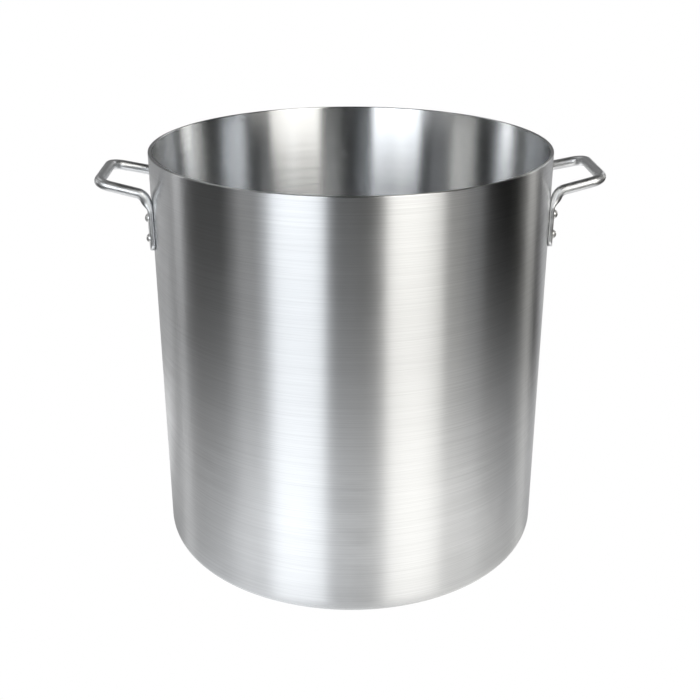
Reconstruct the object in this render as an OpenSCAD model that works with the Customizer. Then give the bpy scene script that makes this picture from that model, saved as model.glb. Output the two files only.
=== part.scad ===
// Heavy-duty aluminium stock pot with two riveted loop handles.
// Millimetres. +Z is up, the origin is the centre of the underside, and the handles lie along X.

/* [Pot] */
// Outer diameter of the wall
pot_d = 490; // [470:5:520]
// Height from the underside to the rim
pot_h = 520; // [480:5:540]
// Thickness of the wall
wall_t = 4; // [3:0.5:5]
// Thickness of the base
base_t = 6; // [5:0.5:8]
// Outer radius of the corner between the wall and the base
corner_r = 26; // [20:1:32]
// Rounding of the two edges of the rim
rim_round = 1.2; // [0.6:0.1:1.4]

/* [Handles] */
// Diameter of the handle rod
rod_d = 12.7; // [12:0.1:14]
// Distance between the legs' centre lines on the wall
leg_gap = 115; // [108:1:122]
// Distance between the corners of the bail, where the legs' lines meet the grip's line
grip_gap = 103; // [94:1:106]
// Reach of the grip's centre line, out from the wall
grip_reach = 56.5; // [52:0.5:62]
// Depth of the grip's centre line below the rim
grip_drop = 33; // [30:1:38]
// Slope of the bail, rising outwards
bail_rise = 13; // [8:0.5:16]
// Bend radius from the pad to the leg, at the centre line
foot_bend_r = 12; // [10:0.5:15]
// Bend radius from the leg to the grip, at the centre line
grip_bend_r = 18; // [15:0.5:20]

/* [Pads and rivets] */
// Width of the flattened pad
pad_w = 20; // [18:0.5:22]
// Thickness of the flattened pad
pad_t = 5.5; // [5:0.1:6]
// Rounding of the pad's long edges
pad_edge_r = 1.8; // [1:0.1:2.2]
// Depth of the upper rivet below the rim
rivet_drop = 74; // [73:0.5:78]
// Distance between the two rivets of a pad
rivet_gap = 25; // [22:0.5:28]
// Distance from the lower rivet to the pad's rounded end
pad_tail = 15.5; // [13:0.5:18]
// Diameter of the rivet's shank
shank_d = 6.4; // [5.5:0.1:7]
// Diameter of the domed head on the outside
outer_head_d = 11.5; // [10:0.1:13]
// Height of the domed head on the outside
outer_head_h = 4; // [3:0.1:4.5]
// Diameter of the low head on the inside
inner_head_d = 13.5; // [12:0.1:15]
// Height of the low head on the inside
inner_head_h = 2.2; // [1.5:0.1:3]

/* [Hidden] */
$fn = 48;
// How far the pad and the rivets start inside the wall before they are cut back to it
bite = 0.5;
// How far two joined pieces run into each other, and how much smaller the inner one is
lap = 0.5;
skin = 0.05;
// How far inside the rod the shoulder's round end stays
step = 0.3;
// How far the flat stretch runs on above the upper rivet's head
head_clear = 0.6;
// How much rounder than a full half circle the pad's end is
end_slack = 0.4;
// How far a shank runs into its inner head
shank_bite = 1;

pot_r = pot_d / 2;
bore_r = pot_r - wall_t;

// A pad lies flat on the wall, so it is turned by this angle from the handle's middle.
pad_turn = asin(leg_gap / 2 / (pot_r + pad_t / 2));
upper_z = pot_h - rivet_drop;
lower_z = upper_z - rivet_gap;
pad_end_z = lower_z - pad_tail;
pad_top_z = upper_z + outer_head_d / 2 + head_clear;
pad_len = pad_top_z - pad_end_z;
pad_end_r = pad_w / 2 + end_slack;

// The rod's inner side just clears the wall where the leg bends out of the pad.
rod_clear = 0.1;
foot_r = pot_r + rod_d / 2 + rod_clear;
foot = [foot_r * cos(pad_turn), foot_r * sin(pad_turn)];
corner = [pot_r + grip_reach, grip_gap / 2];
// In plan the leg runs straight from the foot to the bail's corner.
leg_plan = corner - foot;
leg_turn = atan2(leg_plan.y, leg_plan.x);
leg_climb = atan(tan(bail_rise) * cos(leg_turn));
grip_z = pot_h - grip_drop;
bend_run = foot_bend_r * (1 - sin(leg_climb));
bend_end = foot + bend_run * [cos(leg_turn), sin(leg_turn)];
bend_end_z = grip_z - (corner.x - bend_end.x) * tan(bail_rise);
foot_z = bend_end_z - foot_bend_r * cos(leg_climb);
// In the bail's own sloping plane the leg makes this angle with the outward direction.
leg_skew = -atan(tan(leg_turn) * cos(bail_rise));
grip_turn = 90 - leg_skew;
grip_tangent = grip_bend_r * tan(grip_turn / 2);
leg_len = (corner.x - bend_end.x) / cos(bail_rise) / cos(leg_skew) - grip_tangent;
grip_half = corner.y - grip_tangent;

// Half section of a straight-walled bucket with a rounded lower corner.
module bucket_section(r, h, corner) {
    translate([0, corner]) square([r, h - corner]);
    square([r - corner, corner]);
    intersection() {
        translate([r - corner, corner]) circle(corner);
        translate([r - corner, 0]) square(corner);
    }
}

// Half section of the shell: outer bucket, less the inner one, less what the rim's rounding takes off.
module shell_section() {
    difference() {
        bucket_section(pot_r, pot_h, corner_r);
        translate([0, base_t]) bucket_section(bore_r, pot_h, corner_r - base_t);
        for (side = [0, 1])
            translate([side ? pot_r : bore_r, pot_h])
                mirror([side ? 0 : 1, 0])
                    difference() {
                        translate([-rim_round, -rim_round]) square(2 * rim_round);
                        translate([-rim_round, -rim_round]) circle(rim_round);
                    }
    }
}

// Places its children at one rivet, with +X along the rivet and out of the pot.
module at_rivet(end, row) {
    rotate([0, 0, end * pad_turn])
        translate([0, 0, row == "upper" ? upper_z : lower_z])
            children();
}

// The four rivet holes of one side, drilled square to the pads.
module rivet_holes() {
    for (end = [-1, 1], row = ["upper", "lower"])
        at_rivet(end, row)
            translate([bore_r - wall_t, 0, 0])
                rotate([0, 90, 0]) cylinder(d = shank_d, h = 4 * wall_t + pad_t);
}

module pot_body() {
    color([0.80, 0.81, 0.82])
        difference() {
            rotate_extrude($fn = 360) shell_section();
            rivet_holes();
            rotate([0, 0, 180]) rivet_holes();
        }
}

// Cross-section of the flattened rod, inset by the given amount.
// It starts inside the wall and is cut back to it.
module pad_section(inset) {
    r = pad_edge_r;
    low = [pot_r - bite + inset, inset - pad_w / 2];
    span = [pad_t + bite - 2 * inset, pad_w - 2 * inset];
    translate(low) {
        for (dx = [r, span.x - r], dy = [r, span.y - r])
            translate([dx, dy]) circle(r, $fn = 32);
        translate([0, r]) square([span.x, span.y - 2 * r]);
        translate([r, 0]) square([span.x - 2 * r, span.y]);
    }
}

// The flat pad, with its lower end rounded.
module pad() {
    intersection() {
        translate([0, 0, pad_end_z]) linear_extrude(pad_len) pad_section(0);
        translate([pot_r - 2 * bite, 0, pad_end_z + pad_end_r])
            rotate([0, 90, 0])
                linear_extrude(pad_t + 4 * bite) {
                    circle(pad_end_r);
                    translate([-pad_len, -pad_w]) square([pad_len, 2 * pad_w]);
                }
    }
}

// The shoulder where the round rod is pressed down into the pad.
module shoulder() {
    hull() {
        translate([0, 0, pad_top_z - lap]) rotate([0, 0, pad_turn])
            linear_extrude(lap) pad_section(skin);
        translate([foot.x, foot.y, foot_z]) cylinder(d = rod_d - 2 * step, h = lap, $fn = 32);
    }
}

// A bend of the rod: starts at the origin along +X and turns towards -Y by the given angle.
module bend(r, turn) {
    translate([0, -r, 0])
        mirror([1, 0, 0])
            rotate([0, 0, 90])
                rotate_extrude(angle = turn)
                    translate([r, 0]) circle(d = rod_d);
}

// A straight run of the rod along +Z, a hair thinner than the bends so that it can run into them.
module run(length) {
    translate([0, 0, -lap]) cylinder(d = rod_d - 2 * skin, h = length + 2 * lap);
}

// One leg, from the pad's end to the bail's corner.
module half_handle() {
    rotate([0, 0, pad_turn]) pad();
    shoulder();
    translate([foot.x, foot.y, foot_z])
        rotate([0, 0, leg_turn])
            rotate([90, -90, 0]) bend(foot_bend_r, 90 - leg_climb);
    translate([bend_end.x, bend_end.y, bend_end_z])
        rotate([0, -bail_rise, 0])
            rotate([0, 0, -leg_skew]) {
                rotate([0, 90, 0]) run(leg_len);
                translate([leg_len, 0, 0]) bend(grip_bend_r, grip_turn);
            }
}

module handle(side) {
    color([0.86, 0.87, 0.88])
        rotate([0, 0, side == "left" ? 180 : 0])
            difference() {
                union() {
                    half_handle();
                    mirror([0, 1, 0]) half_handle();
                    translate([corner.x, -grip_half, grip_z])
                        rotate([-90, 0, 0]) run(2 * grip_half);
                }
                cylinder(r = pot_r, h = pot_h, $fn = 360);
                rivet_holes();
            }
}

// Half section of a domed cap of the given diameter and height, on a flat seat at zero.
module cap_section(d, h) {
    dome_r = (pow(d / 2, 2) + h * h) / (2 * h);
    intersection() {
        translate([0, h - dome_r]) circle(dome_r);
        square([d / 2 + 1, h + 1]);
    }
}

// A rivet: domed head on the pad, shank through pad and wall, low head inside.
module rivet(side, end, row) {
    color([0.88, 0.88, 0.87])
        rotate([0, 0, side == "left" ? 180 : 0])
            at_rivet(end, row) {
                translate([pot_r + pad_t, 0, 0])
                    rotate([0, 90, 0]) rotate_extrude() cap_section(outer_head_d, outer_head_h);
                translate([bore_r - shank_bite, 0, 0])
                    rotate([0, 90, 0]) cylinder(d = shank_d, h = wall_t + pad_t + shank_bite);
                intersection() {
                    translate([bore_r, 0, 0])
                        rotate([0, -90, 0]) rotate_extrude()
                            translate([0, -bite]) {
                                square([inner_head_d / 2, bite]);
                                translate([0, bite]) cap_section(inner_head_d, inner_head_h);
                            }
                    translate([0, 0, -inner_head_d])
                        cylinder(r = bore_r, h = 2 * inner_head_d, $fn = 360);
                }
            }
}

pot_body();
handle("right");  // handle_right
handle("left");  // handle_left
rivet("right", -1, "upper");  // rivet_right_front_upper
rivet("right", -1, "lower");  // rivet_right_front_lower
rivet("right", 1, "upper");  // rivet_right_rear_upper
rivet("right", 1, "lower");  // rivet_right_rear_lower
rivet("left", 1, "upper");  // rivet_left_front_upper
rivet("left", 1, "lower");  // rivet_left_front_lower
rivet("left", -1, "upper");  // rivet_left_rear_upper
rivet("left", -1, "lower");  // rivet_left_rear_lower
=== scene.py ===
"""A spun aluminium stock pot with two riveted rod handles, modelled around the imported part."""

import math
from typing import NamedTuple

import bmesh
import bpy
from mathutils import Matrix, Vector


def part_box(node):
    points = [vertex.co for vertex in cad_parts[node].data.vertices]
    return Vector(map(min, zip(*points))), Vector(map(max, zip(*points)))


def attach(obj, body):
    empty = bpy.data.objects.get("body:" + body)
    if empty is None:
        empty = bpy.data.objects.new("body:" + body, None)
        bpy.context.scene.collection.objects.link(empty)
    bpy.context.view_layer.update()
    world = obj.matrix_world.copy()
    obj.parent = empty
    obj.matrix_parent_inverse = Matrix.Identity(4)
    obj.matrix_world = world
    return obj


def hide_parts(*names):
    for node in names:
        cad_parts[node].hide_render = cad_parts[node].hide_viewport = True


bl_info = {
    "name": "Stock pot",
    "version": (1, 0, 0),
    "blender": (4, 5, 0),
    "location": "View3D > Sidebar > Stock pot",
    "description": "Models a spun aluminium stock pot with riveted rod handles",
    "category": "Add Mesh",
}

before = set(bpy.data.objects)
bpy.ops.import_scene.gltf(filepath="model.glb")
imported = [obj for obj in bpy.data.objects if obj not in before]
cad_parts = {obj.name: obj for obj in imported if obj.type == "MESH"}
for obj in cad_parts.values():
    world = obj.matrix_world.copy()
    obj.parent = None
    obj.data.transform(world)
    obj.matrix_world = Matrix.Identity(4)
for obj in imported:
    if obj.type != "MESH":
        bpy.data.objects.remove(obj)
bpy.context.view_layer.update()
_, BODY_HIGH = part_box("pot_body")
HANDLE_LOW, HANDLE_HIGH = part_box("handle_right")
UPPER_LOW, UPPER_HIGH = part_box("rivet_right_rear_upper")
LOWER_LOW, LOWER_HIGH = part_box("rivet_right_rear_lower")
MM = 0.001

# Steps round the shell's outer corner, its inner corner and each edge of its rim
CORNER_STEPS = 16
INNER_CORNER_STEPS = 14
RIM_STEPS = 5
# Points round the rod, and steps along the stretches of half a handle
ROD_SIDES = 32
GRIP_STEPS = 4
LEG_STEPS = 4
BEND_STEPS = 12
SHOULDER_CUTS = 10
PAD_STEPS = 6
PAD_END_STEPS = 9
# How much of the foot bend stays round before the rod is pressed flat
ROUND_SHARE = 0.8
# Gap between the wall and the rod where the leg bends out of the pad
ROD_CLEAR = 0.1 * MM
# How far the pad runs on above the upper rivet's head
HEAD_CLEAR = 0.6 * MM
# Points round a rivet, steps up its domed heads, and the angle at which a dome's flat spot begins
RIVET_SIDES = 40
DOME_STEPS = 9
DOME_TOP = 84
# Two places closer than this are taken as one
SAME_PLACE = 0.01 * MM
# Edges that turn by more than this, in degrees, stay sharp in the shading
BODY_CREASE = 40
ROD_CREASE = 60
RIVET_CREASE = 35

# The two sets of lines that spinning and brushing leave round the pot
FINE_LINES = {"Lines per metre": 1100.0, "Cells round": 7.0}
BROAD_LINES = {"Lines per metre": 210.0, "Cells round": 5.0}
# Marks and grains per metre
WALL_MARKS = 9.0
SMALL_MARKS = 60.0
ROD_GRAINS = 700.0
RIVET_GRAINS = 1200.0
# How deep the fine lines are for each unit of the broad ones
FINE_SHARE = 0.5
# How far the roughness strays along the broad lines, and how much a smudge adds to it
UNEVEN = 0.05
DULLING = 0.03
# How far a small part's roughness goes below and above its middle
POLISHED = 0.05
HANDLED = 0.09
# How much the grain darkens a small part, how strongly it catches the light, and the depth of all relief
GRAIN_TONE = 0.12
GRAIN_RELIEF = 0.2
RELIEF_DEPTH = 0.03 * MM

NEUTRAL = (1.0, 1.0, 1.0)
COOL = (0.97, 1.0, 1.03)
WARM = (1.02, 1.0, 0.95)


class Card(NamedTuple):
    """A soft-edged card of light, placed by angles in degrees.

    Its middle is the angle round the pot from the camera's side towards the camera's right. Its bottom
    and top are angles above the horizon.
    """

    middle: float
    half_width: float
    bottom: float
    top: float
    strength: float
    tint: tuple = NEUTRAL


# The lit cards of the studio, from the camera's side round to the rear
STUDIO_CARDS = {
    "slit in the middle": Card(0, 1.2, -8, 4, 1.0),
    "left key": Card(-29.5, 15.5, 2, 32, 5.0, COOL),
    "left key's foot": Card(-47, 3, -8, 6, 2.4, COOL),
    "left low": Card(-55, 8, -5, 6, 1.5),
    "left high": Card(-71, 5, 24, 48, 2.2),
    "left haze": Card(-88, 12, -5, 5, 0.35),
    "left edge": Card(-110, 4, 2, 25, 2.9),
    "left rear": Card(-134, 17, 40, 60, 1.0),
    "right key": Card(35.5, 16, 3, 56, 3.8, WARM),
    "right key's foot": Card(57, 8, -8, 5, 2.4, WARM),
    "right side": Card(74, 5, 14, 32, 1.6),
    "right edge": Card(119, 5, 1, 26, 2.6, WARM),
    "right rear": Card(146, 8, 12, 28, 1.6),
    "rear haze": Card(190, 58, -5, 50, 0.18),
}
CARD_EDGE = 1.2
CARD_END = 5.16
# The pools of light in front of the two keys, and the pale sweep behind the pot, by angle only
FLOOR_POOLS = {
    "left pool": Card(-29, 28, -10, 10, 0.95, COOL),
    "right pool": Card(40, 28, -10, 10, 0.92, WARM),
}
POOL_EDGE = 28
FLOOR_SWEEP = {"sweep": Card(190, 58, -10, 10, 0.6)}
SWEEP_EDGE = 10
FLOOR_SIZE = 20
SENSOR_WIDTH = 36


# ---------------------------------------------------------------- settings


def length(name, description, default):
    """A size in metres."""
    return bpy.props.FloatProperty(
        name=name, description=description, default=default, min=0.0, unit="LENGTH", precision=5
    )


def angle(name, description, degrees):
    """An angle, stored in radians."""
    return bpy.props.FloatProperty(
        name=name, description=description, default=math.radians(degrees), unit="ROTATION"
    )


def amount(name, description, default):
    """A share from nothing to one."""
    return bpy.props.FloatProperty(
        name=name, description=description, default=default, min=0.0, max=1.0
    )


def colour(name, description, default):
    """A linear red, green and blue colour."""
    return bpy.props.FloatVectorProperty(
        name=name, description=description, default=default, subtype="COLOR", min=0.0, max=1.0
    )


class BodySizes(bpy.types.PropertyGroup):
    """Sizes of the spun body."""

    radius: length("Outer radius", "Outer radius of the wall", min(BODY_HIGH.x, BODY_HIGH.y))
    height: length("Height", "Height from the underside to the rim", BODY_HIGH.z)
    wall: length("Wall", "Thickness of the wall", 4 * MM)
    base: length("Base", "Thickness of the base", 6 * MM)
    corner: length("Corner", "Outer radius between the wall and the base", 26 * MM)
    rim: length("Rim rounding", "Rounding of the rim's two edges", 1.2 * MM)
    sides: bpy.props.IntProperty(
        name="Sides", description="Number of faces round the pot", default=288, min=24
    )


class HandleSizes(bpy.types.PropertyGroup):
    """Sizes of a bent rod handle."""

    rod: length("Rod", "Diameter of the rod", 12.7 * MM)
    leg_gap: length("Leg gap", "Distance between the legs on the wall", 115 * MM)
    grip_gap: length("Grip gap", "Distance between the bail's corners", 103 * MM)
    rise: angle("Rise", "Slope of the bail, rising outwards", 13)
    foot_bend: length("Foot bend", "Bend radius between the pad and the leg", 12 * MM)
    grip_bend: length("Grip bend", "Bend radius between the leg and the grip", 18 * MM)
    pad_width: length("Pad width", "Width of the flattened pad", 20 * MM)
    pad_depth: length("Pad thickness", "Thickness of the flattened pad", 5.5 * MM)
    pad_edge: length("Pad edge", "Rounding of the pad's long edges", 2.2 * MM)


class RivetSizes(bpy.types.PropertyGroup):
    """Sizes of a set rivet."""

    shank: length("Shank", "Diameter of the shank", 6.4 * MM)
    outer_head: length("Outer head", "Diameter of the head on the pad", 11.5 * MM)
    outer_rise: length("Outer head height", "Height of the head on the pad", 4 * MM)
    inner_head: length("Inner head", "Diameter of the head inside the pot", 13.5 * MM)
    inner_rise: length("Inner head height", "Height of the head inside the pot", 2.2 * MM)


class MetalLook(bpy.types.PropertyGroup):
    """Colours and finish of the metal."""

    body_tint: colour("Body", "Colour of the spun body", (0.82, 0.83, 0.84))
    rod_tint: colour("Rod", "Colour of the handles", (0.84, 0.85, 0.86))
    rivet_tint: colour("Rivets", "Colour of the rivets", (0.86, 0.86, 0.85))
    body_roughness: amount("Body roughness", "Roughness of the spun finish", 0.34)
    inside_roughness: amount("Inside roughness", "Roughness of the spun finish inside the pot", 0.25)
    rod_roughness: amount("Rod roughness", "Roughness of the handles", 0.40)
    rivet_roughness: amount("Rivet roughness", "Roughness of the rivets", 0.42)
    line_tone: amount("Line tone", "How much the spun lines darken the wall", 0.3)
    inside_tone: amount("Inside tone", "The even share of that darkening inside the pot", 0.35)
    line_relief: amount("Line relief", "How strongly the spun lines catch the light", 0.45)


class StageLook(bpy.types.PropertyGroup):
    """The camera and the light."""

    lens: bpy.props.FloatProperty(
        name="Lens", description="Focal length", default=57.1, unit="CAMERA"
    )
    pitch: angle("Pitch", "How far the camera looks down", 22.97)
    turn: angle("Turn", "How far the pot is turned from square on", 2.0)
    distance: length("Distance", "Camera to the pot's axis, along the floor", 1.3468)
    camera_height: length("Height", "Camera above the floor", 0.8177)
    camera_side: bpy.props.FloatProperty(
        name="Side", description="Camera to the right of the axis", default=-0.001, unit="LENGTH"
    )
    studio_light: amount("Studio light", "Light of the dark studio between the cards", 0.004)
    sheet_light: amount("Sheet light", "Light of the sheet that the pot stands on", 0.82)
    sheet_radius: length("Sheet radius", "How far the bright sheet reaches", 0.717)
    sheet_fade: length("Sheet fade", "Softness of the sheet's edge", 0.095)
    pot_shade: amount("Pot shade", "How much of the sheet's light is left close to the pot", 0.55)
    shade_reach: length("Shade reach", "How far out the pot shades the sheet", 0.52)


class StockPot(bpy.types.PropertyGroup):
    """All the settings of the stock pot."""

    body: bpy.props.PointerProperty(type=BodySizes)
    handle: bpy.props.PointerProperty(type=HandleSizes)
    rivet: bpy.props.PointerProperty(type=RivetSizes)
    metal: bpy.props.PointerProperty(type=MetalLook)
    stage: bpy.props.PointerProperty(type=StageLook)


# ---------------------------------------------------------------- modelling steps


def deselect():
    """Leaves object mode with nothing selected, so that an operator acts only on its own piece."""
    if bpy.context.object and bpy.context.object.mode != "OBJECT":
        bpy.ops.object.mode_set(mode="OBJECT")
    bpy.ops.object.select_all(action="DESELECT")


def pick(piece):
    """Selects one piece and makes it active."""
    deselect()
    piece.select_set(True)
    bpy.context.view_layer.objects.active = piece


def start(name):
    """Names the new primitive, settles its place in its mesh and selects all of it in edit mode."""
    piece = bpy.context.object
    piece.name = name
    piece.data.name = name
    bpy.ops.object.transform_apply(location=True, rotation=True, scale=True)
    bpy.ops.object.mode_set(mode="EDIT")
    bpy.ops.mesh.select_all(action="SELECT")
    return piece


def select_where(piece, test):
    """In edit mode, selects just the vertices whose place passes the test, and what they bound."""
    bpy.ops.mesh.select_mode(type="VERT")
    bpy.ops.mesh.select_all(action="DESELECT")
    mesh = bmesh.from_edit_mesh(piece.data)
    for vertex in mesh.verts:
        vertex.select_set(test(vertex.co))
    mesh.select_flush_mode()
    bmesh.update_edit_mesh(piece.data)


def extrude(shift):
    """Extrudes the selection by a vector."""
    bpy.ops.mesh.extrude_region_move(TRANSFORM_OT_translate={"value": tuple(shift)})


def scale(factors, centre):
    """Scales the selection about a point."""
    bpy.ops.transform.resize(value=tuple(factors), center_override=tuple(centre))


def spin(centre, axis, turn, steps):
    """Sweeps the selected ring round an axis, by the right-hand rule, which spin takes the other way."""
    bpy.ops.mesh.spin(steps=steps, angle=-turn, center=tuple(centre), axis=tuple(axis))


def arc(centre, radius, first, last, steps):
    """Points on an arc in the (radius, height) plane, from one angle to another, in degrees."""
    angles = [math.radians(first + (last - first) * i / steps) for i in range(steps + 1)]
    return [(centre[0] + radius * math.cos(a), centre[1] + radius * math.sin(a)) for a in angles]


def turned(name, profile, sides):
    """A closed shape turned about Z: a disc extruded ring by ring along a profile."""
    deselect()
    radius, height = profile[0]
    bpy.ops.mesh.primitive_circle_add(
        vertices=sides, radius=radius, fill_type="NGON", location=(0, 0, height)
    )
    piece = start(name)
    for next_radius, next_height in profile[1:]:
        extrude((0, 0, next_height - height))
        factor = next_radius / radius
        scale((factor, factor, 1), (0, 0, next_height))
        radius, height = next_radius, next_height
    bpy.ops.mesh.select_all(action="SELECT")
    bpy.ops.mesh.normals_make_consistent(inside=False)
    bpy.ops.object.mode_set(mode="OBJECT")
    return piece


def smooth(piece, limit):
    """Smooth shading, apart from edges sharper than the limit in degrees."""
    pick(piece)
    bpy.ops.object.shade_smooth_by_angle(angle=math.radians(limit))


def apply_modifier(piece, kind, **values):
    """Adds a modifier with its values and applies it."""
    pick(piece)
    modifier = piece.modifiers.new(kind.title(), kind)
    for name, value in values.items():
        setattr(modifier, name, value)
    bpy.ops.object.modifier_apply(modifier=modifier.name)


def check_closed(piece):
    """Stops with an error if an edge of the piece doesn't join exactly two faces."""
    mesh = bmesh.new()
    mesh.from_mesh(piece.data)
    faults = sum(not edge.is_manifold for edge in mesh.edges)
    mesh.free()
    if faults:
        raise RuntimeError(f"{piece.name} isn't closed: {faults} edges don't join two faces")


def finish_piece(piece, node, material):
    """Settles a finished piece: place in its mesh, material and body, and hides the CAD node it stands
    for.
    """
    check_closed(piece)
    pick(piece)
    bpy.ops.object.transform_apply(location=True, rotation=True, scale=True)
    piece.data.materials.clear()
    piece.data.materials.append(material)
    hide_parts(node)
    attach(piece, "root")


def copy_of(piece, name):
    """A copy of a piece with its own mesh."""
    pick(piece)
    bpy.ops.object.duplicate()
    twin = bpy.context.object
    twin.name = name
    twin.data.name = name
    return twin


# ---------------------------------------------------------------- node trees


def add_node(tree, kind, values=None, **settings):
    """A node with its settings and the values of its unlinked inputs."""
    made = tree.nodes.new(kind)
    for name, value in settings.items():
        setattr(made, name, value)
    for name, value in (values or {}).items():
        made.inputs[name].default_value = value
    return made


def wire(tree, links):
    """Links each pair of (node, output) and (node, input)."""
    for (source, out), (target, into) in links:
        tree.links.new(source.outputs[out], target.inputs[into])


def maths(tree, operation, second=None):
    """A Math node, with the value of its second input where that isn't linked."""
    values = {} if second is None else {1: second}
    return add_node(tree, "ShaderNodeMath", values, operation=operation)


def vectors(tree, operation, second=None):
    """A Vector Math node, with the value of its second input where that isn't linked."""
    values = {} if second is None else {1: second}
    return add_node(tree, "ShaderNodeVectorMath", values, operation=operation)


def ramp(tree, given, wanted, soft=False):
    """Turns one range of values into another, held at both ends."""
    values = {"From Min": given[0], "From Max": given[1], "To Min": wanted[0], "To Max": wanted[1]}
    made = add_node(tree, "ShaderNodeMapRange", values)
    made.interpolation_type = "SMOOTHSTEP" if soft else "LINEAR"
    return made


def group_of(name, inputs, output):
    """A node group with float inputs, or vector ones where the value is None, and one float output."""
    tree = bpy.data.node_groups.new(name, "ShaderNodeTree")
    for socket, value in inputs.items():
        kind = "NodeSocketVector" if value is None else "NodeSocketFloat"
        made = tree.interface.new_socket(name=socket, in_out="INPUT", socket_type=kind)
        if value is not None:
            made.default_value = value
    tree.interface.new_socket(name=output, in_out="OUTPUT", socket_type="NodeSocketFloat")
    return tree, tree.nodes.new("NodeGroupInput"), tree.nodes.new("NodeGroupOutput")


def spun_lines(name):
    """Fine lines that run round the Z axis: by height on a wall, and by radius on a flat base."""
    given_values = {"Vector": None, "Lines per metre": 700.0, "Cells round": 9.0}
    tree, given, result = group_of(name, given_values, "Lines")
    split = add_node(tree, "ShaderNodeSeparateXYZ")
    flat = vectors(tree, "MULTIPLY", (1, 1, 0))
    out = vectors(tree, "LENGTH")
    along = maths(tree, "ADD")
    fine = maths(tree, "MULTIPLY")
    around = vectors(tree, "SCALE")
    lift = add_node(tree, "ShaderNodeCombineXYZ")
    total = vectors(tree, "ADD")
    grain = add_node(tree, "ShaderNodeTexNoise", {"Scale": 1.0, "Detail": 3.0, "Roughness": 0.6})
    wire(tree, (
        ((given, "Vector"), (split, 0)),
        ((given, "Vector"), (flat, 0)),
        ((flat, 0), (out, 0)),
        ((out, "Value"), (along, 0)),
        ((split, "Z"), (along, 1)),
        ((along, 0), (fine, 0)),
        ((given, "Lines per metre"), (fine, 1)),
        ((flat, 0), (around, 0)),
        ((given, "Cells round"), (around, "Scale")),
        ((fine, 0), (lift, "Z")),
        ((around, 0), (total, 0)),
        ((lift, 0), (total, 1)),
        ((total, 0), (grain, "Vector")),
        ((grain, "Fac"), (result, "Lines")),
    ))
    return tree


def handling_marks(name):
    """Soft smudges and dull patches left by hands and wiping."""
    tree, given, result = group_of(name, {"Vector": None, "Marks per metre": 14.0}, "Marks")
    cloud = add_node(tree, "ShaderNodeTexNoise", {"Detail": 4.0, "Roughness": 0.62, "Distortion": 0.6})
    spread = ramp(tree, (0.38, 0.68), (0.0, 1.0), soft=True)
    wire(tree, (
        ((given, "Vector"), (cloud, "Vector")),
        ((given, "Marks per metre"), (cloud, "Scale")),
        ((cloud, "Fac"), (spread, "Value")),
        ((spread, 0), (result, "Marks")),
    ))
    return tree


def fine_grain(name):
    """The fine pitted grain of tumbled or drawn aluminium."""
    tree, given, result = group_of(name, {"Vector": None, "Grains per metre": 900.0}, "Grain")
    speckle = add_node(tree, "ShaderNodeTexNoise", {"Detail": 2.0, "Roughness": 0.7})
    wire(tree, (
        ((given, "Vector"), (speckle, "Vector")),
        ((given, "Grains per metre"), (speckle, "Scale")),
        ((speckle, "Fac"), (result, "Grain")),
    ))
    return tree


def card_edge(tree, given, value, limit, softness, rising):
    """A smooth step across one limit of a card, up or down."""
    before = maths(tree, "SUBTRACT")
    after = maths(tree, "ADD")
    step = ramp(tree, (0.0, 1.0), (0.0, 1.0) if rising else (1.0, 0.0), soft=True)
    wire(tree, (
        ((given, limit), (before, 0)),
        ((given, softness), (before, 1)),
        ((given, limit), (after, 0)),
        ((given, softness), (after, 1)),
        (value, (step, "Value")),
        ((before, 0), (step, "From Min")),
        ((after, 0), (step, "From Max")),
    ))
    return step


def light_card(name):
    """A soft-edged card of light, in radians round the pot and above the horizon."""
    given_values = {
        "Round": 0.0, "Height": 0.0, "Middle": 0.0, "Half width": 0.2, "Bottom": 0.0, "Top": 1.0,
        "Side softness": 0.03, "End softness": 0.09, "Strength": 1.0,
    }
    tree, given, result = group_of(name, given_values, "Light")
    away = maths(tree, "SUBTRACT")
    wrapped = add_node(tree, "ShaderNodeMath", {1: math.pi, 2: -math.pi}, operation="WRAP")
    size = maths(tree, "ABSOLUTE")
    side = card_edge(tree, given, (size, 0), "Half width", "Side softness", rising=False)
    low = card_edge(tree, given, (given, "Height"), "Bottom", "End softness", rising=True)
    high = card_edge(tree, given, (given, "Height"), "Top", "End softness", rising=False)
    ends = maths(tree, "MULTIPLY")
    shape = maths(tree, "MULTIPLY")
    light = maths(tree, "MULTIPLY")
    wire(tree, (
        ((given, "Round"), (away, 0)),
        ((given, "Middle"), (away, 1)),
        ((away, 0), (wrapped, 0)),
        ((wrapped, 0), (size, 0)),
        ((low, 0), (ends, 0)),
        ((high, 0), (ends, 1)),
        ((ends, 0), (shape, 0)),
        ((side, 0), (shape, 1)),
        ((shape, 0), (light, 0)),
        ((given, "Strength"), (light, 1)),
        ((light, 0), (result, "Light")),
    ))
    return tree


GROUPS = {
    "Spun lines": spun_lines,
    "Handling marks": handling_marks,
    "Fine grain": fine_grain,
    "Light card": light_card,
}


def place_group(tree, name, values):
    """A node that uses one of the groups, which is built the first time, with its own values."""
    made = tree.nodes.new("ShaderNodeGroup")
    made.node_tree = bpy.data.node_groups.get(name) or GROUPS[name](name)
    for socket, value in values.items():
        made.inputs[socket].default_value = value
    return made


# ---------------------------------------------------------------- metals


def metal(name, roughness, anisotropic):
    """A bare metal with its shader, and the object coordinates its patterns read."""
    material = bpy.data.materials.new(name)
    material.use_nodes = True
    tree = material.node_tree
    shader = tree.nodes["Principled BSDF"]
    shader.inputs["Metallic"].default_value = 1.0
    shader.inputs["Roughness"].default_value = roughness
    shader.inputs["Anisotropic"].default_value = anisotropic
    place = add_node(tree, "ShaderNodeTexCoord")
    return material, tree, shader, place


def tinted(tree, tint, share):
    """A mix from the tint to the same tint darkened by a share."""
    mix = add_node(tree, "ShaderNodeMix", data_type="RGBA")
    mix.inputs["A"].default_value = (*tint, 1)
    mix.inputs["B"].default_value = (*(value * (1 - share) for value in tint), 1)
    return mix


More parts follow.
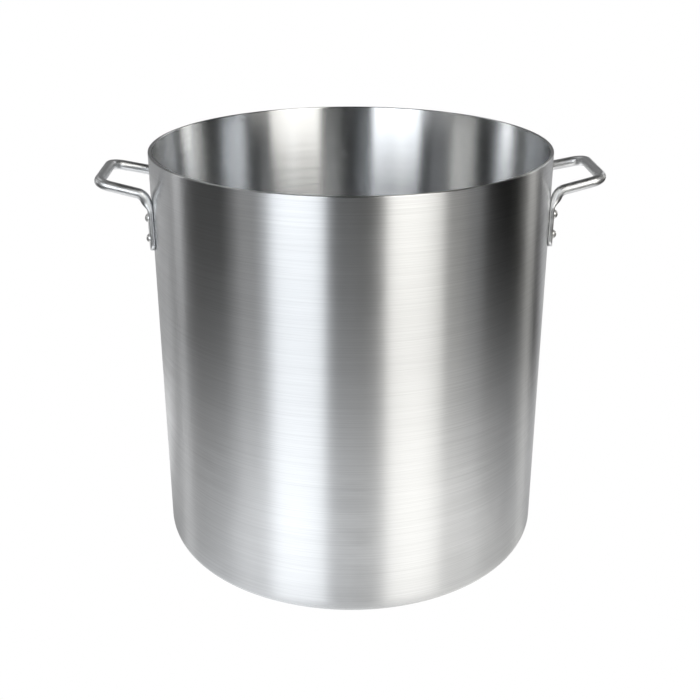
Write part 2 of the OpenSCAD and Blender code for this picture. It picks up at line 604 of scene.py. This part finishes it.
def outer_skin(tree, place, inner):
    """A mask of one on the outer wall and nothing inside the inner radius."""
    flat = vectors(tree, "MULTIPLY", (1, 1, 0))
    radius = vectors(tree, "LENGTH")
    mask = ramp(tree, (inner, inner + MM), (0.0, 1.0))
    wire(tree, (
        ((place, "Object"), (flat, 0)),
        ((flat, 0), (radius, 0)),
        ((radius, "Value"), (mask, "Value")),
    ))
    return mask


def spun_aluminium(look, inner):
    """Aluminium brushed round the pot on the spinning lathe, finer inside its inner radius."""
    material, tree, shader, place = metal("Spun aluminium", look.body_roughness, 1.0)
    # The tangent runs round the pot, and a quarter turn lays the brushing along it.
    shader.inputs["Anisotropic Rotation"].default_value = 0.25
    tangent = add_node(tree, "ShaderNodeTangent", direction_type="RADIAL", axis="Z")
    fine = place_group(tree, "Spun lines", FINE_LINES)
    broad = place_group(tree, "Spun lines", BROAD_LINES)
    marks = place_group(tree, "Handling marks", {"Marks per metre": WALL_MARKS})
    outside = outer_skin(tree, place, inner)
    # Roughness: a base for each side, uneven along the broad lines, and duller in the outside's smudges.
    base = ramp(tree, (0.0, 1.0), (look.inside_roughness, look.body_roughness))
    uneven = ramp(tree, (0.0, 1.0), (-UNEVEN, UNEVEN))
    smudges = maths(tree, "MULTIPLY")
    dull = maths(tree, "MULTIPLY_ADD", DULLING)
    rough = maths(tree, "ADD")
    # Tone: dark along the fine lines outside, and even inside.
    streaks = add_node(tree, "ShaderNodeMix", {"A": look.inside_tone}, data_type="FLOAT")
    tone = tinted(tree, look.body_tint, look.line_tone)
    # Relief: both sets of lines, outside only.
    both = maths(tree, "MULTIPLY_ADD", FINE_SHARE)
    height = maths(tree, "MULTIPLY")
    relief = add_node(tree, "ShaderNodeBump", {"Strength": look.line_relief, "Distance": RELIEF_DEPTH})
    wire(tree, (
        ((place, "Object"), (fine, "Vector")),
        ((place, "Object"), (broad, "Vector")),
        ((place, "Object"), (marks, "Vector")),
        ((tangent, 0), (shader, "Tangent")),
        ((outside, 0), (base, "Value")),
        ((broad, "Lines"), (uneven, "Value")),
        ((marks, "Marks"), (smudges, 0)),
        ((outside, 0), (smudges, 1)),
        ((smudges, 0), (dull, 0)),
        ((uneven, 0), (dull, 2)),
        ((base, 0), (rough, 0)),
        ((dull, 0), (rough, 1)),
        ((rough, 0), (shader, "Roughness")),
        ((outside, 0), (streaks, "Factor")),
        ((fine, "Lines"), (streaks, "B")),
        ((streaks, 0), (tone, "Factor")),
        ((tone, "Result"), (shader, "Base Color")),
        ((fine, "Lines"), (both, 0)),
        ((broad, "Lines"), (both, 2)),
        ((both, 0), (height, 0)),
        ((outside, 0), (height, 1)),
        ((height, 0), (relief, "Height")),
        ((relief, 0), (shader, "Normal")),
    ))
    return material


def satin_aluminium(name, tint, rough, grains):
    """Satin aluminium with a fine grain and dull marks."""
    material, tree, shader, place = metal(name, rough, 0.0)
    grain = place_group(tree, "Fine grain", {"Grains per metre": grains})
    marks = place_group(tree, "Handling marks", {"Marks per metre": SMALL_MARKS})
    spread = ramp(tree, (0.0, 1.0), (rough - POLISHED, rough + HANDLED))
    tone = tinted(tree, tint, GRAIN_TONE)
    relief = add_node(tree, "ShaderNodeBump", {"Strength": GRAIN_RELIEF, "Distance": RELIEF_DEPTH})
    wire(tree, (
        ((place, "Object"), (grain, "Vector")),
        ((place, "Object"), (marks, "Vector")),
        ((marks, "Marks"), (spread, "Value")),
        ((spread, 0), (shader, "Roughness")),
        ((grain, "Grain"), (tone, "Factor")),
        ((tone, "Result"), (shader, "Base Color")),
        ((grain, "Grain"), (relief, "Height")),
        ((relief, 0), (shader, "Normal")),
    ))
    return material


# ---------------------------------------------------------------- the pieces


class STOCKPOT_OT_body(bpy.types.Operator):
    """Turn the pot's body: outer wall, rim, inner wall and base in one closed shell"""

    bl_idname = "mesh.stock_pot_body"
    bl_label = "Spun body"

    def execute(self, context):
        body = context.scene.stock_pot.body
        inner = body.radius - body.wall
        inner_corner = body.corner - body.base
        rim_z = body.height - body.rim
        outer_centre = (body.radius - body.corner, body.corner)
        outer_arc = arc(outer_centre, body.corner, -90, 0, CORNER_STEPS)
        rim_out = arc((body.radius - body.rim, rim_z), body.rim, 0, 90, RIM_STEPS)
        rim_in = arc((inner + body.rim, rim_z), body.rim, 90, 180, RIM_STEPS)
        inner_centre = (inner - inner_corner, body.base + inner_corner)
        inner_arc = arc(inner_centre, inner_corner, 0, -90, INNER_CORNER_STEPS)
        profile = outer_arc + rim_out + rim_in + inner_arc
        piece = turned("spun_body", profile, body.sides)
        material = spun_aluminium(context.scene.stock_pot.metal, inner)
        smooth(piece, BODY_CREASE)
        finish_piece(piece, "pot_body", material)
        return {"FINISHED"}


class HandleLine:
    """The centre line of a handle's rod on the +Y side, worked out from the sizes."""

    def __init__(self, body, handle):
        half = handle.rod / 2
        self.pad_turn = math.asin(handle.leg_gap / 2 / (body.radius + handle.pad_depth / 2))
        foot_radius = body.radius + half + ROD_CLEAR
        foot = Vector((math.cos(self.pad_turn), math.sin(self.pad_turn))) * foot_radius
        self.corner = Vector((HANDLE_HIGH.x - half, handle.grip_gap / 2))
        self.grip_height = HANDLE_HIGH.z - half
        leg = self.corner - foot
        out = leg.normalized()
        self.climb = math.atan(math.tan(handle.rise) * out.x)
        run = handle.foot_bend * (1 - math.sin(self.climb))
        end = foot + run * out
        end_height = self.grip_height - (self.corner.x - end.x) * math.tan(handle.rise)
        foot_height = end_height - handle.foot_bend * math.cos(self.climb)
        self.foot_centre = Vector((*(foot + handle.foot_bend * out), foot_height))
        self.foot_axis = Vector((0, 0, 1)).cross(Vector((*out, 0)))
        self.leg_way = Vector((*(out * math.cos(self.climb)), math.sin(self.climb)))
        skew = -math.atan(out.y / out.x * math.cos(handle.rise))
        self.grip_turn = math.pi / 2 - skew
        tangent = handle.grip_bend * math.tan(self.grip_turn / 2)
        self.grip_half = self.corner.y - tangent
        self.leg_length = (self.corner.x - end.x) / math.cos(handle.rise) / math.cos(skew) - tangent
        slope = Vector((math.cos(handle.rise), 0, math.sin(handle.rise)))
        grip_end = Vector((self.corner.x, self.grip_half, self.grip_height))
        self.grip_centre = grip_end - handle.grip_bend * slope
        self.grip_axis = slope.cross(Vector((0, 1, 0)))


def rod_half(line, handle):
    """Half of the rod, from the middle of the grip to partway round the foot bend."""
    deselect()
    bpy.ops.mesh.primitive_circle_add(
        vertices=ROD_SIDES,
        radius=handle.rod / 2,
        location=(line.corner.x, 0, line.grip_height),
        rotation=(math.pi / 2, 0, 0),
    )
    piece = start("rod")
    for _ in range(GRIP_STEPS):
        extrude((0, line.grip_half / GRIP_STEPS, 0))
    spin(line.grip_centre, line.grip_axis, line.grip_turn, BEND_STEPS)
    for _ in range(LEG_STEPS):
        extrude(-line.leg_way * line.leg_length / LEG_STEPS)
    spin(line.foot_centre, line.foot_axis, -(math.pi / 2 - line.climb) * ROUND_SHARE, BEND_STEPS)
    bpy.ops.object.mode_set(mode="OBJECT")
    return piece


def pad(line, body, handle, top, bottom):
    """The flat pad with a round lower end, open at the top, turned to its place on the wall."""
    deselect()
    middle = Vector((body.radius + handle.pad_depth / 2, 0, top))
    bpy.ops.mesh.primitive_plane_add(size=1, location=middle)
    bpy.context.object.scale = (handle.pad_depth, handle.pad_width, 1)
    piece = start("pad")
    # The bevels give the outline as many corners as the rod has, so that the two bridge one to one.
    bpy.ops.mesh.bevel(
        offset=handle.pad_edge, segments=ROD_SIDES // 4 - 1, affect="VERTICES", clamp_overlap=True
    )
    half = handle.pad_width / 2
    straight = top - bottom - half
    for _ in range(PAD_STEPS):
        extrude((0, 0, -straight / PAD_STEPS))
    height = bottom + half
    width = 1.0
    for i in range(1, PAD_END_STEPS):
        turn = math.pi / 2 * i / PAD_END_STEPS
        next_height = bottom + half * (1 - math.sin(turn))
        extrude((0, 0, next_height - height))
        scale((1, math.cos(turn) / width, 1), (middle.x, 0, next_height))
        height, width = next_height, math.cos(turn)
    select_where(piece, lambda place: place.z > top - SAME_PLACE)
    bpy.ops.mesh.delete(type="ONLY_FACE")
    bpy.ops.object.mode_set(mode="OBJECT")
    piece.rotation_euler.z = line.pad_turn
    bpy.ops.object.transform_apply(location=True, rotation=True, scale=True)
    return piece


def open_ends(piece):
    """The places of the vertices on open edges, apart from those on the mirror plane."""
    mesh = bmesh.from_edit_mesh(piece.data)
    found = set()
    for edge in mesh.edges:
        if edge.is_boundary:
            found.update(tuple(v.co) for v in edge.verts if v.co.y > SAME_PLACE)
    return found


class STOCKPOT_OT_handles(bpy.types.Operator):
    """Bend the rod, press its ends flat and put a handle on each side"""

    bl_idname = "mesh.stock_pot_handles"
    bl_label = "Rod handles"

    def execute(self, context):
        pot = context.scene.stock_pot
        line = HandleLine(pot.body, pot.handle)
        piece = rod_half(line, pot.handle)
        top = UPPER_HIGH.z + HEAD_CLEAR
        flat = pad(line, pot.body, pot.handle, top, HANDLE_LOW.z)
        pick(piece)
        flat.select_set(True)
        bpy.ops.object.join()
        bpy.ops.object.mode_set(mode="EDIT")
        ends = open_ends(piece)
        if len(ends) != 2 * ROD_SIDES:
            raise RuntimeError(f"the rod and the pad meet with {len(ends)} points, not {2 * ROD_SIDES}")
        select_where(piece, lambda place: tuple(place) in ends)
        bpy.ops.mesh.bridge_edge_loops(
            number_cuts=SHOULDER_CUTS, interpolation="SURFACE", smoothness=1.0, type="SINGLE"
        )
        bpy.ops.object.mode_set(mode="OBJECT")
        apply_modifier(piece, "MIRROR", use_axis=(False, True, False), merge_threshold=SAME_PLACE)
        bpy.ops.object.mode_set(mode="EDIT")
        bpy.ops.mesh.select_all(action="SELECT")
        bpy.ops.mesh.normals_make_consistent(inside=False)
        bpy.ops.object.mode_set(mode="OBJECT")
        apply_modifier(piece, "SUBSURF", levels=1, render_levels=1)
        smooth(piece, ROD_CREASE)
        piece.name = "bent_rod_right"
        other = copy_of(piece, "bent_rod_left")
        other.rotation_euler.z = math.pi
        look = pot.metal
        material = satin_aluminium("Satin rod", look.rod_tint, look.rod_roughness, ROD_GRAINS)
        finish_piece(piece, "handle_right", material)
        finish_piece(other, "handle_left", material)
        return {"FINISHED"}


def dome(width, rise, seat, way):
    """Profile of a domed head from its flat spot to its seat, rising one way or the other."""
    radius = (width**2 / 4 + rise**2) / (2 * rise)
    low = math.degrees(math.asin((radius - rise) / radius))
    points = arc((0, rise - radius), radius, DOME_TOP, low, DOME_STEPS)
    return [(r, seat + way * h) for r, h in points]


def set_rivet(body, handle, rivet):
    """A rivet on the Z axis, with the pot's axis at the origin and its outer head above."""
    seat = body.radius + handle.pad_depth
    back = body.radius - body.wall
    outer = dome(rivet.outer_head, rivet.outer_rise, seat, 1)
    inner = dome(rivet.inner_head, rivet.inner_rise, back, -1)
    shank = rivet.shank / 2
    profile = inner + [(shank, back), (shank, seat)] + outer[::-1]
    piece = turned("rivet", profile, RIVET_SIDES)
    smooth(piece, RIVET_CREASE)
    return piece


class STOCKPOT_OT_rivets(bpy.types.Operator):
    """Make one set rivet and put a copy in each of the eight places"""

    bl_idname = "mesh.stock_pot_rivets"
    bl_label = "Rivets"

    def execute(self, context):
        pot = context.scene.stock_pot
        line = HandleLine(pot.body, pot.handle)
        first = set_rivet(pot.body, pot.handle, pot.rivet)
        look = pot.metal
        material = satin_aluminium("Rivet metal", look.rivet_tint, look.rivet_roughness, RIVET_GRAINS)
        heights = {
            "upper": (UPPER_LOW.z + UPPER_HIGH.z) / 2,
            "lower": (LOWER_LOW.z + LOWER_HIGH.z) / 2,
        }
        for side, side_turn in (("right", 0.0), ("left", math.pi)):
            for end, sign in (("front", -1), ("rear", 1)):
                for row, height in heights.items():
                    rivet = copy_of(first, f"set_rivet_{side}_{end}_{row}")
                    mirrored = 1 if side == "right" else -1
                    turn = side_turn + sign * mirrored * line.pad_turn
                    place = Matrix.Translation((0, 0, height)) @ Matrix.Rotation(turn, 4, "Z")
                    rivet.matrix_world = place @ Matrix.Rotation(math.pi / 2, 4, "Y")
                    finish_piece(rivet, f"rivet_{side}_{end}_{row}", material)
        bpy.data.objects.remove(first)
        return {"FINISHED"}


# ---------------------------------------------------------------- the stage


def angle_round(tree, vector, output, turn):
    """The angle of a direction or place round the pot, from the camera's side to the camera's right."""
    split = add_node(tree, "ShaderNodeSeparateXYZ")
    forward = maths(tree, "MULTIPLY", -1)
    compass = maths(tree, "ARCTAN2")
    facing = maths(tree, "ADD", turn)
    wire(tree, (
        ((vector, output), (split, 0)),
        ((split, "Y"), (forward, 0)),
        ((split, "X"), (compass, 0)),
        ((forward, 0), (compass, 1)),
        ((compass, 0), (facing, 0)),
    ))
    return split, facing


def add_cards(tree, cards, facing, height, softness):
    """Adds up the light of some cards, each in its own tint, with sides of one softness in degrees."""
    total = None
    for name, card in cards.items():
        values = {
            "Middle": math.radians(card.middle),
            "Half width": math.radians(card.half_width),
            "Bottom": math.radians(card.bottom),
            "Top": math.radians(card.top),
            "Side softness": math.radians(softness),
            "End softness": math.radians(CARD_END),
            "Strength": card.strength,
        }
        lit = place_group(tree, "Light card", values)
        lit.label = name
        dyed = add_node(tree, "ShaderNodeVectorMath", {0: card.tint}, operation="SCALE")
        wire(tree, (
            ((facing, 0), (lit, "Round")),
            ((height, 0), (lit, "Height")),
            ((lit, "Light"), (dyed, "Scale")),
        ))
        if total:
            both = vectors(tree, "ADD")
            wire(tree, (((total, 0), (both, 0)), ((dyed, 0), (both, 1))))
            dyed = both
        total = dyed
    return total


def seen_as_white(tree, light, shader_input):
    """Shows plain white to the camera and the light to everything else."""
    path = add_node(tree, "ShaderNodeLightPath")
    choice = add_node(tree, "ShaderNodeMix", data_type="RGBA")
    choice.inputs["B"].default_value = (1, 1, 1, 1)
    wire(tree, (((path, "Is Camera Ray"), (choice, "Factor")), ((light, 0), (choice, "A"))))
    tree.links.new(choice.outputs["Result"], shader_input)


def set_camera(context, look):
    """The camera, turned about the pot's axis and looking down at it."""
    data = bpy.data.cameras.new("Camera")
    data.lens = look.lens
    data.sensor_width = SENSOR_WIDTH
    camera = bpy.data.objects.new("Camera", data)
    context.scene.collection.objects.link(camera)
    place = Vector((look.camera_side, -look.distance, look.camera_height))
    camera.location = Matrix.Rotation(-look.turn, 3, "Z") @ place
    camera.rotation_euler = (math.pi / 2 - look.pitch, 0, -look.turn)
    context.scene.camera = camera


def pale_floor(look):
    """A glowing sheet round the pot, shaded close to it and lit most in front of the two keys."""
    material = bpy.data.materials.new("Pale floor")
    material.use_nodes = True
    tree = material.node_tree
    tree.nodes.clear()
    place = add_node(tree, "ShaderNodeTexCoord")
    _, facing = angle_round(tree, place, "Object", look.turn)
    level = add_node(tree, "ShaderNodeValue")
    level.outputs[0].default_value = 0
    pools = add_cards(tree, FLOOR_POOLS, facing, level, POOL_EDGE)
    sweep = add_cards(tree, FLOOR_SWEEP, facing, level, SWEEP_EDGE)
    base = vectors(tree, "ADD", (look.sheet_light,) * 3)
    out = vectors(tree, "LENGTH")
    inner = look.sheet_radius - look.sheet_fade
    outer = look.sheet_radius + look.sheet_fade
    sheet = ramp(tree, (inner, outer), (1.0, 0.0), soft=True)
    shade = ramp(tree, (BODY_HIGH.y, look.shade_reach), (look.pot_shade, 1.0), soft=True)
    share = maths(tree, "MULTIPLY")
    lit = vectors(tree, "SCALE")
    total = vectors(tree, "ADD")
    glow = add_node(tree, "ShaderNodeEmission")
    surface = add_node(tree, "ShaderNodeOutputMaterial")
    wire(tree, (
        ((place, "Object"), (out, 0)),
        ((out, "Value"), (sheet, "Value")),
        ((out, "Value"), (shade, "Value")),
        ((sheet, 0), (share, 0)),
        ((shade, 0), (share, 1)),
        ((pools, 0), (base, 0)),
        ((base, 0), (lit, 0)),
        ((share, 0), (lit, "Scale")),
        ((lit, 0), (total, 0)),
        ((sweep, 0), (total, 1)),
        ((glow, 0), (surface, "Surface")),
    ))
    seen_as_white(tree, total, glow.inputs["Color"])
    return material


def set_floor(look):
    """The pale floor, which isn't part of the pot."""
    deselect()
    bpy.ops.mesh.primitive_plane_add(size=FLOOR_SIZE, location=(0, 0, 0))
    floor = bpy.context.object
    floor.name = "Floor"
    floor.data.materials.append(pale_floor(look))


def set_world(context, look):
    """A dark studio with soft cards of light round the pot, plain white to the camera."""
    world = bpy.data.worlds.new("Studio")
    world.use_nodes = True
    context.scene.world = world
    tree = world.node_tree
    place = add_node(tree, "ShaderNodeTexCoord")
    split, facing = angle_round(tree, place, "Generated", look.turn)
    height = maths(tree, "ARCSINE")
    cards = add_cards(tree, STUDIO_CARDS, facing, height, CARD_EDGE)
    dim = vectors(tree, "ADD", (look.studio_light,) * 3)
    wire(tree, (((split, "Z"), (height, 0)), ((cards, 0), (dim, 0))))
    seen_as_white(tree, dim, tree.nodes["Background"].inputs["Color"])


class STOCKPOT_OT_stage(bpy.types.Operator):
    """Set the pale floor, the soft light and the camera"""

    bl_idname = "object.stock_pot_stage"
    bl_label = "Stage"

    def execute(self, context):
        look = context.scene.stock_pot.stage
        context.scene.view_settings.view_transform = "Standard"
        set_camera(context, look)
        set_floor(look)
        set_world(context, look)
        return {"FINISHED"}


class STOCKPOT_PT_panel(bpy.types.Panel):
    """Lists the pieces in the 3D view's sidebar"""

    bl_idname = "STOCKPOT_PT_panel"
    bl_label = "Stock pot"
    bl_space_type = "VIEW_3D"
    bl_region_type = "UI"
    bl_category = "Stock pot"

    def draw(self, context):
        for operator in OPERATORS:
            self.layout.operator(operator.bl_idname)


OPERATORS = (STOCKPOT_OT_body, STOCKPOT_OT_handles, STOCKPOT_OT_rivets, STOCKPOT_OT_stage)
SETTINGS = (BodySizes, HandleSizes, RivetSizes, MetalLook, StageLook, StockPot)
CLASSES = (*SETTINGS, *OPERATORS, STOCKPOT_PT_panel)


def register():
    """Registers the classes and the settings."""
    for made in CLASSES:
        bpy.utils.register_class(made)
    bpy.types.Scene.stock_pot = bpy.props.PointerProperty(type=StockPot)


def unregister():
    """Takes the settings and the classes away again."""
    del bpy.types.Scene.stock_pot
    for made in reversed(CLASSES):
        bpy.utils.unregister_class(made)


def main():
    """Makes every piece in order."""
    register()
    bpy.ops.mesh.stock_pot_body()
    bpy.ops.mesh.stock_pot_handles()
    bpy.ops.mesh.stock_pot_rivets()
    bpy.ops.object.stock_pot_stage()
    bpy.context.view_layer.update()


if __name__ == "__main__":
    main()
